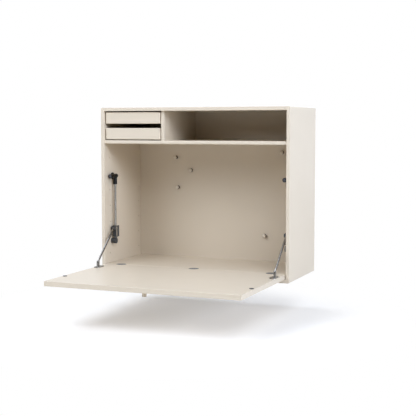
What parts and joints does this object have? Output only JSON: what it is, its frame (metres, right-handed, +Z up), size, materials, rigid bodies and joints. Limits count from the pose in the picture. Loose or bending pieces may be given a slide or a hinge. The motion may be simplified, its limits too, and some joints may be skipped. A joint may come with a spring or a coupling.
{
  "type": "fold down wall desk",
  "caption": "Wall-hung lacquered cabinet with a drop flap that opens into a desk top on sliding stays, shallow drawers and an open cubby above.",
  "frame": {"origin": "middle of the wall rail's two screw holes, on the wall plane", "axes": "+X to the right of someone facing the desk, +Y into the wall, +Z up; the flap is stored open"},
  "size_m": [0.696, 0.712, 0.5875],
  "materials": {
    "lacquer": "satin cream lacquer over fibreboard",
    "tray_board": "satin lacquered board",
    "nylon": "white moulded nylon",
    "beech": "raw beech",
    "zinc": "grey coated zinc casting",
    "zinc_plated_steel": "zinc plated",
    "bright_steel": "drawn and nickel plated",
    "grey_plastic": "moulded dark grey nylon",
    "black_plastic": "moulded black nylon",
    "magnet": "sintered ferrite",
    "rubber": "moulded rubber"
  },
  "bodies": {
    "cabinet": {"side_panel_left": "lacquer", "side_panel_right": "lacquer", "top_panel": "lacquer", "bottom_panel": "lacquer", "back_panel": "lacquer", "middle_shelf": "lacquer", "drawer_divider": "lacquer", "inner_floor": "lacquer", "board_magnet_caps": "lacquer", "drawer_runners": "nylon", "shelf_dowels": "beech", "hinge_floor_leaves": "zinc", "hinge_pins": "zinc_plated_steel", "hinge_floor_screws": "zinc_plated_steel", "hanger_screws": "zinc_plated_steel", "wall_rail": "zinc_plated_steel", "wall_hangers": "zinc_plated_steel", "stay_rail_left": "bright_steel", "stay_lower_bracket_left": "grey_plastic", "stay_upper_bracket_left": "black_plastic", "stay_rail_right": "bright_steel", "stay_lower_bracket_right": "grey_plastic", "stay_upper_bracket_right": "black_plastic", "catch_magnets": "magnet", "board_magnets": "magnet", "wall_bumpers": "rubber"},
    "flap": {"flap_panel": "lacquer", "hinge_flap_leaves": "zinc", "hinge_flap_screws": "zinc_plated_steel", "catch_strikes": "zinc_plated_steel", "stay_foot_left": "zinc_plated_steel", "stay_foot_right": "zinc_plated_steel", "stay_foot_screws": "zinc_plated_steel", "stay_foot_pins": "zinc_plated_steel", "pull_knob": "lacquer", "knob_stud": "zinc_plated_steel"},
    "left_arm": {"stay_arm_left": "bright_steel"},
    "left_slider": {"stay_slider_left": "grey_plastic", "slider_pin_left": "zinc_plated_steel"},
    "right_arm": {"stay_arm_right": "bright_steel"},
    "right_slider": {"stay_slider_right": "grey_plastic", "slider_pin_right": "zinc_plated_steel"},
    "upper_drawer": {"drawer_upper_front": "lacquer", "drawer_upper_side_left": "tray_board", "drawer_upper_side_right": "tray_board", "drawer_upper_back": "tray_board", "drawer_upper_bottom": "tray_board"},
    "lower_drawer": {"drawer_lower_front": "lacquer", "drawer_lower_side_left": "tray_board", "drawer_lower_side_right": "tray_board", "drawer_lower_back": "tray_board", "drawer_lower_bottom": "tray_board"}
  },
  "joints": [
    {"name": "flap_hinge", "type": "hinge", "parent": "cabinet", "child": "flap", "pos_m": [0, -0.284, -0.4895], "axis": [-1, 0, 0], "range_deg": [0, 90]},
    {"name": "left_arm_foot", "type": "hinge", "parent": "flap", "child": "left_arm", "pos_m": [-0.324, -0.374, -0.468], "axis": [1, 0, 0], "range_deg": [0, 136.03]},
    {"name": "left_slider_pivot", "type": "hinge", "parent": "left_arm", "child": "left_slider", "pos_m": [-0.324, -0.256, -0.363], "axis": [-1, 0, 0], "range_deg": [0, 46.03]},
    {"name": "right_arm_foot", "type": "hinge", "parent": "flap", "child": "right_arm", "pos_m": [0.324, -0.374, -0.468], "axis": [1, 0, 0], "range_deg": [0, 136.03]},
    {"name": "right_slider_pivot", "type": "hinge", "parent": "right_arm", "child": "right_slider", "pos_m": [0.324, -0.256, -0.363], "axis": [-1, 0, 0], "range_deg": [0, 46.03]},
    {"name": "upper_drawer_slide", "type": "slide", "parent": "cabinet", "child": "upper_drawer", "axis": [0, -1, 0], "range_m": [0, 0.18]},
    {"name": "lower_drawer_slide", "type": "slide", "parent": "cabinet", "child": "lower_drawer", "axis": [0, -1, 0], "range_m": [0, 0.18]}
  ],
  "couplings": [
    {"joint": "left_arm_foot", "follows": "flap_hinge", "ratio": 1.5109},
    {"joint": "left_slider_pivot", "follows": "flap_hinge", "ratio": 0.51087},
    {"joint": "right_arm_foot", "follows": "flap_hinge", "ratio": 1.5109},
    {"joint": "right_slider_pivot", "follows": "flap_hinge", "ratio": 0.51087}
  ]
}
